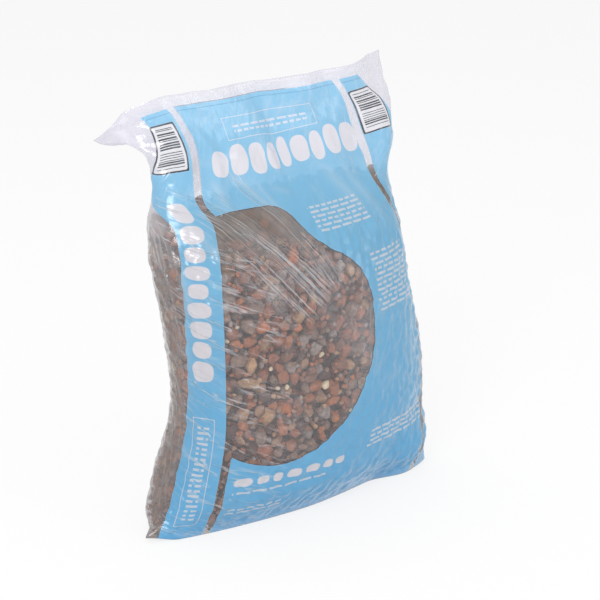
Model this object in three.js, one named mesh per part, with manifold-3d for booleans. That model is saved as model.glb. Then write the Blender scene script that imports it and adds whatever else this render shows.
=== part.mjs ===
// A clear plastic-film bag of river rock, standing on its base with its empty top leaning back.
// The film is one tube, welded flat across the top and folded under at the bottom.
// The stones lie loose inside, so they are held only by the film.
// Millimetres, +Z up, front towards -Y, origin on the floor under the middle of the bag.
import * as THREE from "three";
import { mergeVertices } from "three/addons/utils/BufferGeometryUtils.js";
import Module from "manifold-3d";

const wasm = await Module();
wasm.setup();

// Driving dimensions
const LAY_FLAT_WIDTH = 420; // the empty tube pressed flat
const FILM = 0.15; // film thickness
const SEAL_HEIGHT = 14; // welded band along the top edge
const BASE_DEPTH = 84; // footprint, front to back
const BELLY_DEPTH = 160; // the fullest section, front to back
const ROLL_HEIGHT = 42; // the base turns up into the belly over this height
const BELLY_HEIGHT = 140; // height of the fullest section
const ROCK_HEIGHT = 356; // top of the heap at its rim
const SHOULDER_DROP = 56; // the front starts to slope back this far below the rim
const NECK_RISE = 29; // front and back film have nearly met this far above the rim
const HEADER_RISE = 74; // flat double film from this far above the rim up
const HEADER_LENGTH = 55; // the flat double film, up to the welded top edge
const HEADER_BACK = 52; // the header leans this far behind the base
const HEADER_SIDE = -18; // and this far to the left
const SLACK = 0.035; // share of the girth that folds and creases take up
const TUCK = 0.18; // and in the neck, where the sides are tucked in
const ROCK_CROWN = 8; // the heap's rise from its rim to its middle
const ROCK_GAP = 0.35; // stones to film
const EAR_DROOP = 34; // the left corner of the header hangs this far down
const EAR_LENGTH = 70; // length of that hanging corner
const VENT_DIAMETER = 3; // air holes pricked in the side film
const VENT_HEIGHTS = [100, 195, 270];
const HEADER_HALF_GAP = 0.35; // half the space between the films above the stones

// Mesh fineness
const RING_POINTS = 48;
const RING_STEP = 18; // height between two rings
const ROLL_STEP = 7; // and where the base turns up
const VENT_SIDES = 12;
const HEAP_SHRINK = [0.94, 0.75, 0.4]; // rings of the heap's crown, as shares of its rim

// Sections of the bag from the floor up: front and back of the section, sideways shift, squareness and slack
const SHOULDER_HEIGHT = ROCK_HEIGHT - SHOULDER_DROP;
const NECK_HEIGHT = ROCK_HEIGHT + NECK_RISE;
const HEADER_HEIGHT = ROCK_HEIGHT + HEADER_RISE;
const STAND_HEIGHT = HEADER_HEIGHT + HEADER_LENGTH;
const BELLY_HALF = BELLY_DEPTH / 2;
const BASE_HALF = BASE_DEPTH / 2;
const HEADER_HALF = FILM + HEADER_HALF_GAP;
const TOP_FRONT = HEADER_BACK - HEADER_HALF;
const TOP_BACK = HEADER_BACK + HEADER_HALF;
const SECTIONS = [
  { z: 0, front: -BASE_HALF, back: BASE_HALF, side: -10, square: 1.5, slack: 0 },
  { z: ROLL_HEIGHT, front: -BELLY_HALF + 8, back: BELLY_HALF - 8, side: -2, square: 2, slack: 0.01 },
  { z: BELLY_HEIGHT, front: -BELLY_HALF, back: BELLY_HALF, side: 5, square: 2.4, slack: SLACK },
  { z: SHOULDER_HEIGHT, front: -BELLY_HALF + 10, back: BELLY_HALF + 6, side: -14, square: 2.5, slack: 0.05 },
  { z: NECK_HEIGHT, front: HEADER_BACK - 46, back: HEADER_BACK + 16, side: -6, square: 2.6, slack: TUCK },
  { z: HEADER_HEIGHT, front: HEADER_BACK - 8, back: HEADER_BACK + 6, side: 0, square: 4, slack: TUCK },
  { z: STAND_HEIGHT, front: TOP_FRONT, back: TOP_BACK, side: HEADER_SIDE, square: 6, slack: 0 },
];

// Plan curve of the header: how far each place along the width stands behind the header's middle
const HEADER_CURL = [
  { x: -LAY_FLAT_WIDTH / 2, back: 16 },
  { x: -LAY_FLAT_WIDTH / 2 + 50, back: 34 },
  { x: -LAY_FLAT_WIDTH / 2 + 95, back: 14 },
  { x: 0, back: 0 },
  { x: LAY_FLAT_WIDTH / 2 - 85, back: -10 },
  { x: LAY_FLAT_WIDTH / 2, back: 24 },
];

// A smooth curve through a table of stations, read at one place of its key
function through(table, key, at, value) {
  const last = table.length - 1;
  const place = THREE.MathUtils.clamp(at, table[0][key], table[last][key]);
  let i = 0;
  while (i < last - 1 && place > table[i + 1][key]) i += 1;
  const slope = (k) => {
    const before = table[Math.max(k - 1, 0)];
    const after = table[Math.min(k + 1, last)];
    return (after[value] - before[value]) / (after[key] - before[key]);
  };
  const span = table[i + 1][key] - table[i][key];
  const t = (place - table[i][key]) / span;
  const rise = t * t * (3 - 2 * t);
  return (
    table[i][value] * (1 - rise) +
    table[i + 1][value] * rise +
    span * slope(i) * t * (1 - t) * (1 - t) -
    span * slope(i + 1) * t * t * (1 - t)
  );
}

// One closed section outline: a rounded figure between an ellipse and a rectangle
function outline(halfWidth, halfDepth, square) {
  const points = [];
  for (let i = 0; i < RING_POINTS; i += 1) {
    const turn = (2 * Math.PI * i) / RING_POINTS;
    const c = Math.cos(turn);
    const s = Math.sin(turn);
    const x = halfWidth * Math.sign(c) * Math.abs(c) ** (2 / square);
    const y = halfDepth * Math.sign(s) * Math.abs(s) ** (2 / square);
    points.push(new THREE.Vector2(x, y));
  }
  return points;
}

function girthOf(points) {
  return points.reduce((sum, p, i) => sum + p.distanceTo(points[(i + 1) % points.length]), 0);
}

// The film doesn't stretch, so a section's depth and girth give its width
function halfWidthFor(halfDepth, square, girth) {
  let low = 1;
  let high = girth;
  for (let i = 0; i < 50; i += 1) {
    const middle = (low + high) / 2;
    if (girthOf(outline(middle, halfDepth, square)) < girth) low = middle;
    else high = middle;
  }
  return (low + high) / 2;
}

// The header's curl and its hanging left corner, growing from the neck up
function bendHeader(point) {
  const grown = THREE.MathUtils.smoothstep(point.z, NECK_HEIGHT, STAND_HEIGHT);
  const along = point.x - HEADER_SIDE;
  const ear = THREE.MathUtils.smoothstep(-along, LAY_FLAT_WIDTH / 2 - EAR_LENGTH, LAY_FLAT_WIDTH / 2);
  point.y += grown * through(HEADER_CURL, "x", along, "back");
  point.z -= grown * ear * EAR_DROOP;
  return point;
}

// One ring of the bag at a height, drawn in from the outer surface by an inset
function ringAt(z, inset) {
  const front = through(SECTIONS, "z", z, "front");
  const back = through(SECTIONS, "z", z, "back");
  const side = through(SECTIONS, "z", z, "side");
  const square = through(SECTIONS, "z", z, "square");
  const slack = through(SECTIONS, "z", z, "slack");
  const halfDepth = Math.max((back - front) / 2, HEADER_HALF);
  const halfWidth = halfWidthFor(halfDepth, square, 2 * LAY_FLAT_WIDTH * (1 - slack));
  const points = outline(halfWidth - inset, halfDepth - inset, square);
  return points.map((p) => bendHeader(new THREE.Vector3(p.x + side, p.y + (front + back) / 2, z)));
}

// Every surface has its rings at the same heights, so that a film's two sides stay parallel
function ringHeights() {
  const heights = [ROCK_HEIGHT, STAND_HEIGHT - SEAL_HEIGHT, STAND_HEIGHT];
  for (let z = 0; z < ROLL_HEIGHT; z += ROLL_STEP) heights.push(z);
  for (let z = ROLL_HEIGHT; z < STAND_HEIGHT; z += RING_STEP) {
    if (heights.every((other) => Math.abs(other - z) > RING_STEP / 4)) heights.push(z);
  }
  return heights.sort((a, b) => a - b);
}

// The bag's rings from one height to another, drawn in by an inset
function bagRings(low, high, inset) {
  const between = ringHeights().filter((z) => z > low + inset && z < high);
  return [low, ...between, high].map((z) => ringAt(z, inset));
}

// Rings that close a heap over a rim: each is drawn in towards the middle and raised
function heapRings(rim, crown) {
  const middle = rim.reduce((sum, p) => sum.add(p), new THREE.Vector3()).divideScalar(rim.length);
  return HEAP_SHRINK.map((share) => {
    const rise = crown * (1 - share * share);
    return rim.map((p) => p.clone().lerp(middle, 1 - share).setZ(p.z + rise));
  });
}

// A closed solid through rings; each end is a ladder of strips from the front of its ring to the back.
// The front's triangles mirror the back's, so that the two films stay apart where the header is bent.
function loft(rings) {
  const last = (rings.length - 1) * RING_POINTS;
  const faces = [];
  for (let j = 0; j < RING_POINTS; j += 1) {
    const k = (j + 1) % RING_POINTS;
    const isBack = j < RING_POINTS / 2;
    for (let start = 0; start < last; start += RING_POINTS) {
      const a = start + j;
      const b = start + k;
      const c = b + RING_POINTS;
      const d = a + RING_POINTS;
      faces.push(...(isBack ? [a, b, c, a, c, d] : [a, b, d, b, c, d]));
    }
  }
  for (let j = 0; j < RING_POINTS / 2; j += 1) {
    const across = (RING_POINTS - j) % RING_POINTS;
    const next = RING_POINTS - j - 1;
    if (across !== j) faces.push(j, across, next, last + j, last + next, last + across);
    if (next !== j + 1) faces.push(j, next, j + 1, last + j, last + j + 1, last + next);
  }
  const geometry = new THREE.BufferGeometry();
  const places = rings.flat().flatMap((p) => p.toArray());
  geometry.setAttribute("position", new THREE.Float32BufferAttribute(places, 3));
  geometry.setIndex(faces);
  return geometry;
}

function solidOf(geometry) {
  const bare = geometry.clone();
  bare.deleteAttribute("normal");
  bare.deleteAttribute("uv");
  const merged = mergeVertices(bare, 1e-4);
  return new wasm.Manifold(
    new wasm.Mesh({
      numProp: 3,
      vertProperties: merged.attributes.position.array,
      triVerts: new Uint32Array(merged.index.array),
    }),
  );
}

function geometryOf(solid) {
  const mesh = solid.getMesh();
  const geometry = new THREE.BufferGeometry();
  geometry.setAttribute("position", new THREE.BufferAttribute(mesh.vertProperties, 3));
  geometry.setIndex(new THREE.BufferAttribute(mesh.triVerts, 1));
  return geometry;
}

// Air holes through the film of the left side
function ventSolids() {
  return VENT_HEIGHTS.map((z) => {
    const ring = ringAt(z, 0);
    const left = Math.min(...ring.map((p) => p.x));
    const depth = ring.reduce((sum, p) => sum + p.y, 0) / ring.length;
    const prick = new THREE.CylinderGeometry(VENT_DIAMETER / 2, VENT_DIAMETER / 2, 20, VENT_SIDES);
    prick.rotateZ(Math.PI / 2);
    prick.translate(left, depth, z);
    return solidOf(prick);
  });
}

function filmBag() {
  const outside = solidOf(loft(bagRings(0, STAND_HEIGHT, 0)));
  const inside = solidOf(loft(bagRings(FILM, STAND_HEIGHT - SEAL_HEIGHT, FILM)));
  const shell = outside.subtract(inside);
  return geometryOf(ventSolids().reduce((film, vent) => film.subtract(vent), shell));
}

function riverRock() {
  const inset = FILM + ROCK_GAP;
  const rings = bagRings(inset, ROCK_HEIGHT, inset);
  return loft([...rings, ...heapRings(rings.at(-1), ROCK_CROWN)]);
}

const printedFilm = new THREE.MeshStandardMaterial({ color: 0x7cb9dc, roughness: 0.3, metalness: 0 });
const brownRock = new THREE.MeshStandardMaterial({ color: 0x8a6a5a, roughness: 0.85, metalness: 0 });

const film = new THREE.Mesh(filmBag(), printedFilm);
film.name = "film_bag";
const rock = new THREE.Mesh(riverRock(), brownRock);
rock.name = "river_rock";

// The origin lies on the floor under the middle of the bag's box
const bag = new THREE.Group();
bag.add(film, rock);
film.geometry.computeBoundingBox();
const middle = film.geometry.boundingBox.getCenter(new THREE.Vector3());
bag.children.forEach((piece) => piece.position.set(-middle.x, -middle.y, 0));

export default bag;
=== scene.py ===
# Looks of a clear-film bag of river rock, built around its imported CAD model.
# Lengths are millimetres unless a comment says otherwise; meshes are made in metres, in the CAD frame.
import itertools
import math

import bpy
import numpy as np
from mathutils import Euler, Matrix, Vector


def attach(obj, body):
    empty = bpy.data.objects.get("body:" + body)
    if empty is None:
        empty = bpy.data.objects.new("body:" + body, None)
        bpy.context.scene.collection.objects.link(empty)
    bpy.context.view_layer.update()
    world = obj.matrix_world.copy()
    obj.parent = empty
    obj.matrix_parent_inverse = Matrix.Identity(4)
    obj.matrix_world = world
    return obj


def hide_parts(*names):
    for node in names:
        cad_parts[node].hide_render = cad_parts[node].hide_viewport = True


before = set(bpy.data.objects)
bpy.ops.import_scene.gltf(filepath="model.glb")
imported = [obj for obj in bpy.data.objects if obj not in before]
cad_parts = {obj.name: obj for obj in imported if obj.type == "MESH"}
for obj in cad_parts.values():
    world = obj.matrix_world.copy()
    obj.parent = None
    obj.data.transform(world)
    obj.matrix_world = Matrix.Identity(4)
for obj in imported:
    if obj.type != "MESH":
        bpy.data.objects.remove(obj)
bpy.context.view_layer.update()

MM = 0.001

# Form of the bag, as in the CAD model
LAY_FLAT_WIDTH = 420.0
GIRTH = 2 * LAY_FLAT_WIDTH
BELLY_HALF = 80.0
BASE_HALF = 42.0
ROLL_HEIGHT = 42.0
BELLY_HEIGHT = 140.0
ROCK_HEIGHT = 356.0
ROCK_CROWN = 8.0
SHOULDER_HEIGHT = 300.0
NECK_HEIGHT = 385.0
HEADER_HEIGHT = 430.0
STAND_HEIGHT = 485.0
HEADER_BACK = 52.0
HEADER_SIDE = -18.0
HEADER_HALF = 0.5
SLACK = 0.035
TUCK = 0.18
EAR_DROOP = 34.0
EAR_LENGTH = 70.0

# Slack film lies a little off that form: the neck's sideways shift, its sides, the ear and the top edge
NECK_SHIFT = 5.0
RIGHT_FLARE = 16.0
LEFT_TUCK = 8.0
EAR_START = 105.0
EAR_CURL = 8.0
TOP_SAG = 4.0
CORNER_LIFT = 6.0
# The neck's sides are bent where they lie this far from the header's middle
SIDE_START = 100.0
SIDE_FULL = 175.0
# Where stones push the film out: start, full, fading and end round the girth, the same up the bag,
# then how far in x, y and z; the last one is a corner of the base that stands off the floor
BULGES = [
    (-375, -305, -250, -208, -5, 20, 15, 170, -8.5, 18.7, 0),
    (-360, -300, -250, -208, 260, 315, 345, 372, -2, 4, 0),
    (140, 205, 235, 300, 6, 60, 170, 240, 11, -2, 0),
    (90, 165, 200, 260, -10, -5, 25, 90, -8, -22, 0),
    (-245, -214, -206, -170, -10, -5, 0, 30, 0, 0, CORNER_LIFT),
]

VENT_DIAMETER = 3.0
VENT_RIM = 0.45
VENT_HEIGHTS = (100.0, 195.0, 270.0)

# Sections from the floor up: height, front, back, sideways shift, squareness, slack
SECTIONS = np.array([
    (0, -BASE_HALF, BASE_HALF, -10, 1.5, 0),
    (ROLL_HEIGHT, -BELLY_HALF + 8, BELLY_HALF - 8, -2, 2, 0.01),
    (BELLY_HEIGHT, -BELLY_HALF, BELLY_HALF, 5, 2.4, SLACK),
    (SHOULDER_HEIGHT, -BELLY_HALF + 10, BELLY_HALF + 6, -14, 2.5, 0.05),
    (NECK_HEIGHT, HEADER_BACK - 46, HEADER_BACK + 16, -6, 2.6, TUCK),
    (HEADER_HEIGHT, HEADER_BACK - 8, HEADER_BACK + 6, 0, 4, TUCK),
    (STAND_HEIGHT, HEADER_BACK - HEADER_HALF, HEADER_BACK + HEADER_HALF, HEADER_SIDE, 6, 0),
])
# Plan curve of the header: place along the width, distance behind the header's middle
HEADER_CURL = np.array([(-210, 16), (-160, 34), (-115, 14), (0, 0), (125, -10), (210, 24)], float)

# Fineness of the film mesh
FRONT_COLUMNS = 260
BACK_COLUMNS = 140
FRONT_REACH = 225.0
FILM_ROWS = 226
BASE_ROWS = 5
OUTLINE_STEPS = 720
GIRTH_STEPS = 240
HALVINGS = 40
DIRECTIONS = 720
# Cells of the seeded noise before it repeats, and a shift that keeps places above zero
NOISE_CELLS = 128
NOISE_SHIFT = 500.0

# Print on the film, across from the left edge of the front panel and up from the floor edge
PANEL_WIDTH = 280.0
STRIPE = 9.0
STRIP_WIDTH = 52.0
PRINT_TOP = 531.0
SEAL_LINE = 525.0
# Left edge of the left strip, which turns under the header's fold: height on the film, distance across
STRIP_EDGE = np.array([
    (0, -60), (110, -61), (200, -56), (300, -53), (380, -53), (396, -58), (412, -68), (440, -65),
    (460, -57), (514, -40), (547, -35),
], float)
# Right edge of the right strip, from its left edge, which turns back towards the top as well
FAR_STRIP_EDGE = np.array([(0, 52), (430, 52), (470, 46), (514, 34), (547, 28)], float)
# Where the panel's left and right edges lie: height on the film, distance from the front's middle
PANEL_LEFT = np.array([
    (0, -136), (60, -143), (130, -140), (225, -133), (300, -123), (350, -113),
    (385, -107), (418, -117), (480, -110), (547, -110),
], float)
PANEL_RIGHT = np.array([
    (0, 163), (120, 161), (225, 156), (300, 152), (345, 140),
    (392, 117), (435, 111), (488, 103), (547, 96),
], float)
# Outline of the clear window: each curve's two pulls and its end, from the corner below on the left
WINDOW_START = (-9, 113)
WINDOW_CURVES = [
    ((14, 101), (36, 91), (60, 91)),
    ((120, 91), (185, 160), (185, 245)),
    ((186, 280), (180, 303), (153, 321)),
    ((134, 333), (120, 346), (112, 368)),
    ((104, 388), (92, 396), (66, 396)),
    ((40, 398), (12, 397), (-9, 393)),
]

# Rows of pebble figures: start, end and the gap between two figures, then where a row lies
HEAD_ROW = (20.0, 258.0, 3.5)
HEAD_HEIGHT = 454.0
STRIP_ROW = (196.0, 408.0, 4.0)
FOOT_ROW = (8.0, 142.0, 5.0)
FOOT_HEIGHT = 76.0
FOOT_HALF = 5.0
# Blocks of dashes on the panel: left, right, low and high; and the bare rim of a box of bars
DASH_BLOCKS = [
    (138, 226, 348, 384), (196, 262, 240, 312), (172, 278, 78, 102), (8, 118, 60, 66), (6, 70, 30, 42),
    (72, 204, 486, 498),
]
BAR_MARGIN = 5.0
# The print runs on below the floor edge, and its scale runs on this far beside the panel
PRINT_LOW = -200.0
PRINT_BESIDE = 400.0

# Stones: mean sizes and form, how they spread, and the depths of the layers under the film
STONE_SMALL = 10.0
STONE_LARGE = 21.0
STONE_FORM = np.array([1.25, 0.98, 0.75])
STONE_SPREAD = 0.2
SIZE_SPREAD = 0.1
SIZE_FALL = 2.2
SMALL_FILL = 0.36
LAYER_DEPTHS = (0.0, 12.0, 25.0)
LOWEST_STONE = 3.0
STONE_TRIES = 12000
PACKING = 0.72
PEBBLE_KINDS = 12
CHIPPING = 0.65
SHARP_ANGLE = 34.0
# How far the film sags between stones, how far round a stone it is held, and what stones keep from it
FILM_SAG = 3.2
HOLD_REACH = 1.6
FILM_CLEARANCE = 0.5
FILM_GAP = (0.8, 1.8)
TIP_CLEARANCE = 0.8
DEEP_CLEARANCE = 4.0
# Stones on the heap's top, on the base, in its low corners and in the core
CROWN_SIZES = (0.6, 1.0)
CROWN_SHARE = 0.8
CROWN_ROOM = 0.95
BED_STONE_SMALL = 5.0
BED_HEIGHT = 12.0
BED_CLEARANCE = 1.5
CORNER_CLEARANCE = 1.6
CORNER_STONE = 11.0
CORNER_HEIGHT = 70.0
CORNER_REACH = 55.0
CORE_STONE = 30.0
CORE_SIZES = (0.85, 1.15)
CORE_OVERLAP = 0.9
CORE_DEPTH = 16.0
# How far a stone's thin way strays from the film's normal or from upright, in radians
FILM_TILT = 0.28
DEEP_TILT = 0.9
CROWN_TILT = 0.35
BED_TILT = 0.3
FREE_TILT = 0.5
UPRIGHT = (0.0, 0.0, 1.0)

SEED = 7


def linear(hex_colour):
    """An sRGB hex colour as linear red, green, blue and alpha."""
    parts = [int(hex_colour[i:i + 2], 16) / 255 for i in (1, 3, 5)]
    return tuple(c / 12.92 if c <= 0.04045 else ((c + 0.055) / 1.055) ** 2.4 for c in parts) + (1.0,)


def add_node(tree, kind, inputs=None, out=0, **settings):
    """Adds a node with its settings and links, and gives one output; an input is a value or an output."""
    node = tree.nodes.new(kind)
    for name, value in settings.items():
        setattr(node, name, value)
    for key, value in (inputs or {}).items():
        if isinstance(value, bpy.types.NodeSocket):
            tree.links.new(value, node.inputs[key])
        else:
            node.inputs[key].default_value = value
    return node.outputs[out] if node.outputs else None


def new_material(name):
    material = bpy.data.materials.new(name)
    material.use_nodes = True
    material.node_tree.nodes.clear()
    return material, material.node_tree


def link_object(name, mesh):
    piece = bpy.data.objects.new(name, mesh)
    bpy.context.scene.collection.objects.link(piece)
    return piece


def smooth(x, low, high):
    t = np.clip((x - low) / (high - low), 0, 1)
    return t * t * (3 - 2 * t)


def through(table, column, at):
    """A smooth curve through a table of stations, whose first column is the key."""
    key = table[:, 0]
    value = table[:, column]
    last = len(key) - 1
    order = np.arange(last + 1)
    low = np.maximum(order - 1, 0)
    high = np.minimum(order + 1, last)
    slope = (value[high] - value[low]) / (key[high] - key[low])
    at = np.clip(at, key[0], key[-1])
    i = np.clip(np.searchsorted(key, at) - 1, 0, last - 1)
    span = key[i + 1] - key[i]
    t = (at - key[i]) / span
    rise = t * t * (3 - 2 * t)
    bend = span * t * (1 - t) * (slope[i] * (1 - t) - slope[i + 1] * t)
    return value[i] * (1 - rise) + value[i + 1] * rise + bend


def drift(seed, x, y, pitch_x, pitch_y):
    """Smooth seeded noise from -1 to 1 over two coordinates, with a pitch for each."""
    cells = np.random.default_rng(seed).uniform(-1, 1, (NOISE_CELLS, NOISE_CELLS))
    gx = x / pitch_x + NOISE_SHIFT
    gy = y / pitch_y + NOISE_SHIFT
    i = np.floor(gx).astype(int)
    j = np.floor(gy).astype(int)
    tx = smooth(gx - i, 0, 1)
    ty = smooth(gy - j, 0, 1)
    left = i % NOISE_CELLS
    right = (i + 1) % NOISE_CELLS

    def row(k):
        return cells[k % NOISE_CELLS, left] * (1 - tx) + cells[k % NOISE_CELLS, right] * tx

    return row(j) * (1 - ty) + row(j + 1) * ty


# The camera stands where the photograph was taken from
CAMERA_AZIMUTH = -40.0
CAMERA_ELEVATION = 19.5
CAMERA_DISTANCE = 2.6
CAMERA_LENS = 139.3
CAMERA_AIM = (0.0, 0.0, 0.245)
AIM_RIGHT = 0.0213
AIM_UP = -0.0056


def make_camera():
    azimuth = math.radians(CAMERA_AZIMUTH)
    elevation = math.radians(CAMERA_ELEVATION)
    flat = math.cos(elevation)
    back = Vector((math.sin(azimuth) * flat, -math.cos(azimuth) * flat, math.sin(elevation)))
    right = Vector((math.cos(azimuth), math.sin(azimuth), 0))
    aim = Vector(CAMERA_AIM) + right * AIM_RIGHT + back.cross(right) * AIM_UP
    camera = bpy.data.objects.new("camera", bpy.data.cameras.new("camera"))
    bpy.context.scene.collection.objects.link(camera)
    camera.data.lens = CAMERA_LENS
    camera.data.sensor_width = 36.0
    camera.location = aim + back * CAMERA_DISTANCE
    camera.rotation_euler = (-back).to_track_quat("-Z", "Y").to_euler()
    bpy.context.scene.camera = camera


def outline(half_width, half_depth, square, steps):
    """A section from the middle of the back round by the left, the front and the right."""
    turn = np.pi / 2 + 2 * np.pi * np.arange(steps + 1) / steps
    c = np.cos(turn)
    s = np.sin(turn)
    x = half_width * np.sign(c) * np.abs(c) ** (2 / square)
    y = half_depth * np.sign(s) * np.abs(s) ** (2 / square)
    return np.stack([x, y], axis=1)


def limits(points):
    """Lowest and highest coordinates of all the points."""
    rows = points.reshape(-1, points.shape[-1])
    return rows.min(axis=0), rows.max(axis=0)


def lengths_along(points):
    steps = np.linalg.norm(np.diff(points, axis=0), axis=1)
    return np.concatenate([[0], np.cumsum(steps)])


def half_width_for(half_depth, square, girth):
    """The film doesn't stretch, so a section's depth and girth give its width."""
    low = 1.0
    high = girth
    for _ in range(HALVINGS):
        middle = (low + high) / 2
        if lengths_along(outline(middle, half_depth, square, GIRTH_STEPS))[-1] < girth:
            low = middle
        else:
            high = middle
    return (low + high) / 2


class BagForm:
    """The smooth bag: rows of points from the floor up, columns round the girth from the back's middle."""

    def __init__(self):
        side = (GIRTH / 2 - FRONT_REACH) / (BACK_COLUMNS // 2)
        left = -GIRTH / 2 + side * np.arange(BACK_COLUMNS // 2)
        front = -FRONT_REACH + 2 * FRONT_REACH / FRONT_COLUMNS * np.arange(FRONT_COLUMNS)
        self.round = np.concatenate([left, front, FRONT_REACH + side * np.arange(BACK_COLUMNS // 2)])
        self.heights = np.linspace(0, STAND_HEIGHT, FILM_ROWS)
        front, back, shift, square, slack = (through(SECTIONS, k, self.heights) for k in range(1, 6))
        self.half_depth = np.maximum((back - front) / 2, HEADER_HALF)
        self.square = square
        self.slack = slack
        self.middle_x = shift
        self.middle_y = (front + back) / 2
        girths = GIRTH * (1 - slack)
        sizes = zip(self.half_depth, square, girths)
        self.half_width = np.array([half_width_for(depth, q, girth) for depth, q, girth in sizes])
        self.points = np.array([self.ring(row) for row in range(FILM_ROWS)])
        centre = sum(limits(self.points)) / 2
        place = self.points[..., 0] - HEADER_SIDE
        self.points[..., :2] -= centre[:2]
        self.points = self.settled(self.points, place)
        self.middle_x = self.middle_x - centre[0]
        self.middle_y = self.middle_y - centre[1]
        self.reaches = self.reach_table()
        around = np.roll(self.points, -1, axis=1) - np.roll(self.points, 1, axis=1)
        upward = np.gradient(self.points, axis=0)
        normals = np.cross(around, upward)
        self.normals = normals / np.linalg.norm(normals, axis=2, keepdims=True)
        middle = len(left) + FRONT_COLUMNS // 2
        self.up_film = lengths_along(self.points[:, middle])
        # Distance from the front's middle along the film, and place across the pressed-flat tube
        self.arc = self.round[None, :] * (1 - slack[:, None])
        self.up = np.broadcast_to(self.up_film[:, None], self.arc.shape)
        is_front = np.abs(self.round) <= LAY_FLAT_WIDTH / 2
        mirrored = np.sign(self.round) * LAY_FLAT_WIDTH - self.round
        self.across = np.where(is_front, self.round, mirrored)
        self.facing = np.where(is_front, 1.0, -1.0)

    def ring(self, row):
        z = self.heights[row]
        flat = outline(self.half_width[row], self.half_depth[row], self.square[row], OUTLINE_STEPS)
        along = lengths_along(flat)
        along = (along / along[-1] - 0.5) * GIRTH
        x = np.interp(self.round, along, flat[:, 0]) + self.middle_x[row]
        y = np.interp(self.round, along, flat[:, 1]) + self.middle_y[row]
        grown = smooth(z, NECK_HEIGHT, STAND_HEIGHT)
        place = x - HEADER_SIDE
        ear = smooth(-place, LAY_FLAT_WIDTH / 2 - EAR_LENGTH, LAY_FLAT_WIDTH / 2)
        y = y + grown * through(HEADER_CURL, 1, place)
        return np.stack([x, y, z - grown * ear * EAR_DROOP], axis=1)

    def settled(self, points, place):
        """The form with its slack film settled: neck shifted, sides and ear bent, top edge sunk."""
        z = self.heights[:, None]
        grown = smooth(z, NECK_HEIGHT, STAND_HEIGHT)
        ends = 1 - smooth(z, HEADER_HEIGHT + 30, STAND_HEIGHT)
        shifts = smooth(z, NECK_HEIGHT - 20, HEADER_HEIGHT) * ends
        flares = smooth(z, NECK_HEIGHT - 30, NECK_HEIGHT + 10)
        flares = flares * (1 - smooth(z, HEADER_HEIGHT - 15, HEADER_HEIGHT + 40))
        tucks = smooth(z, NECK_HEIGHT - 35, NECK_HEIGHT + 5) * ends
        pull = NECK_SHIFT * shifts + RIGHT_FLARE * flares * smooth(place, SIDE_START, SIDE_FULL)
        pull = pull + LEFT_TUCK * tucks * smooth(-place, SIDE_START, SIDE_FULL)
        ear = smooth(-place, EAR_START, LAY_FLAT_WIDTH / 2)
        more = ear - smooth(-place, LAY_FLAT_WIDTH / 2 - EAR_LENGTH, LAY_FLAT_WIDTH / 2)
        moved = points.copy()
        for start, full, fade, end, low, rise, fall, high, *push in BULGES:
            across = smooth(self.round, start, full) * (1 - smooth(self.round, fade, end))
            upward = smooth(z, low, rise) * (1 - smooth(z, fall, high))
            moved += (across * upward)[..., None] * push
        moved[..., 0] += pull + EAR_CURL * grown * ear
        moved[..., 2] -= EAR_DROOP * grown * more + TOP_SAG * smooth(z, HEADER_HEIGHT, STAND_HEIGHT)
        return moved

    def at(self, values, turn, height):
        """Values of the grid read between its rows and columns."""
        columns = len(self.round)
        spots = np.append(self.round, GIRTH / 2)
        c = np.interp(turn, spots, np.arange(columns + 1))
        r = np.clip(height / STAND_HEIGHT * (FILM_ROWS - 1), 0, FILM_ROWS - 1.001)
        i = np.floor(c).astype(int) % columns
        j = np.floor(r).astype(int)
        k = (i + 1) % columns
        tc = (c - np.floor(c))[:, None]
        tr = (r - j)[:, None]
        low = values[j, i] * (1 - tc) + values[j, k] * tc
        high = values[j + 1, i] * (1 - tc) + values[j + 1, k] * tc
        return low * (1 - tr) + high * tr

    def reach_table(self):
        """Distance from each section's middle to the film, for each direction in turn."""
        turns = (np.arange(DIRECTIONS) + 0.5) / DIRECTIONS * 2 * np.pi
        rows = []
        for ring, x, y in zip(self.points, self.middle_x, self.middle_y):
            angle = np.arctan2(ring[:, 1] - y, ring[:, 0] - x)
            rows.append(np.interp(turns, angle, np.hypot(ring[:, 0] - x, ring[:, 1] - y), period=2 * np.pi))
        return np.array(rows)

    def room(self, places, clearance):
        """How far out each place lies in its section; under 1 is inside with that clearance."""
        row = np.clip(np.rint(places[:, 2] / STAND_HEIGHT * (FILM_ROWS - 1)), 0, FILM_ROWS - 1).astype(int)
        x = places[:, 0] - self.middle_x[row]
        y = places[:, 1] - self.middle_y[row]
        turn = (np.arctan2(y, x) / (2 * np.pi) % 1 * DIRECTIONS).astype(int) % DIRECTIONS
        limit = self.reaches[row, turn] - clearance
        return np.where(limit > 0, np.hypot(x, y) / np.maximum(limit, 0.1), np.inf)


def reach_down(lie, half):
    """How far each turned stone reaches below its middle."""
    return np.sqrt(((lie[:, 2] * half) ** 2).sum(axis=1))


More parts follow.
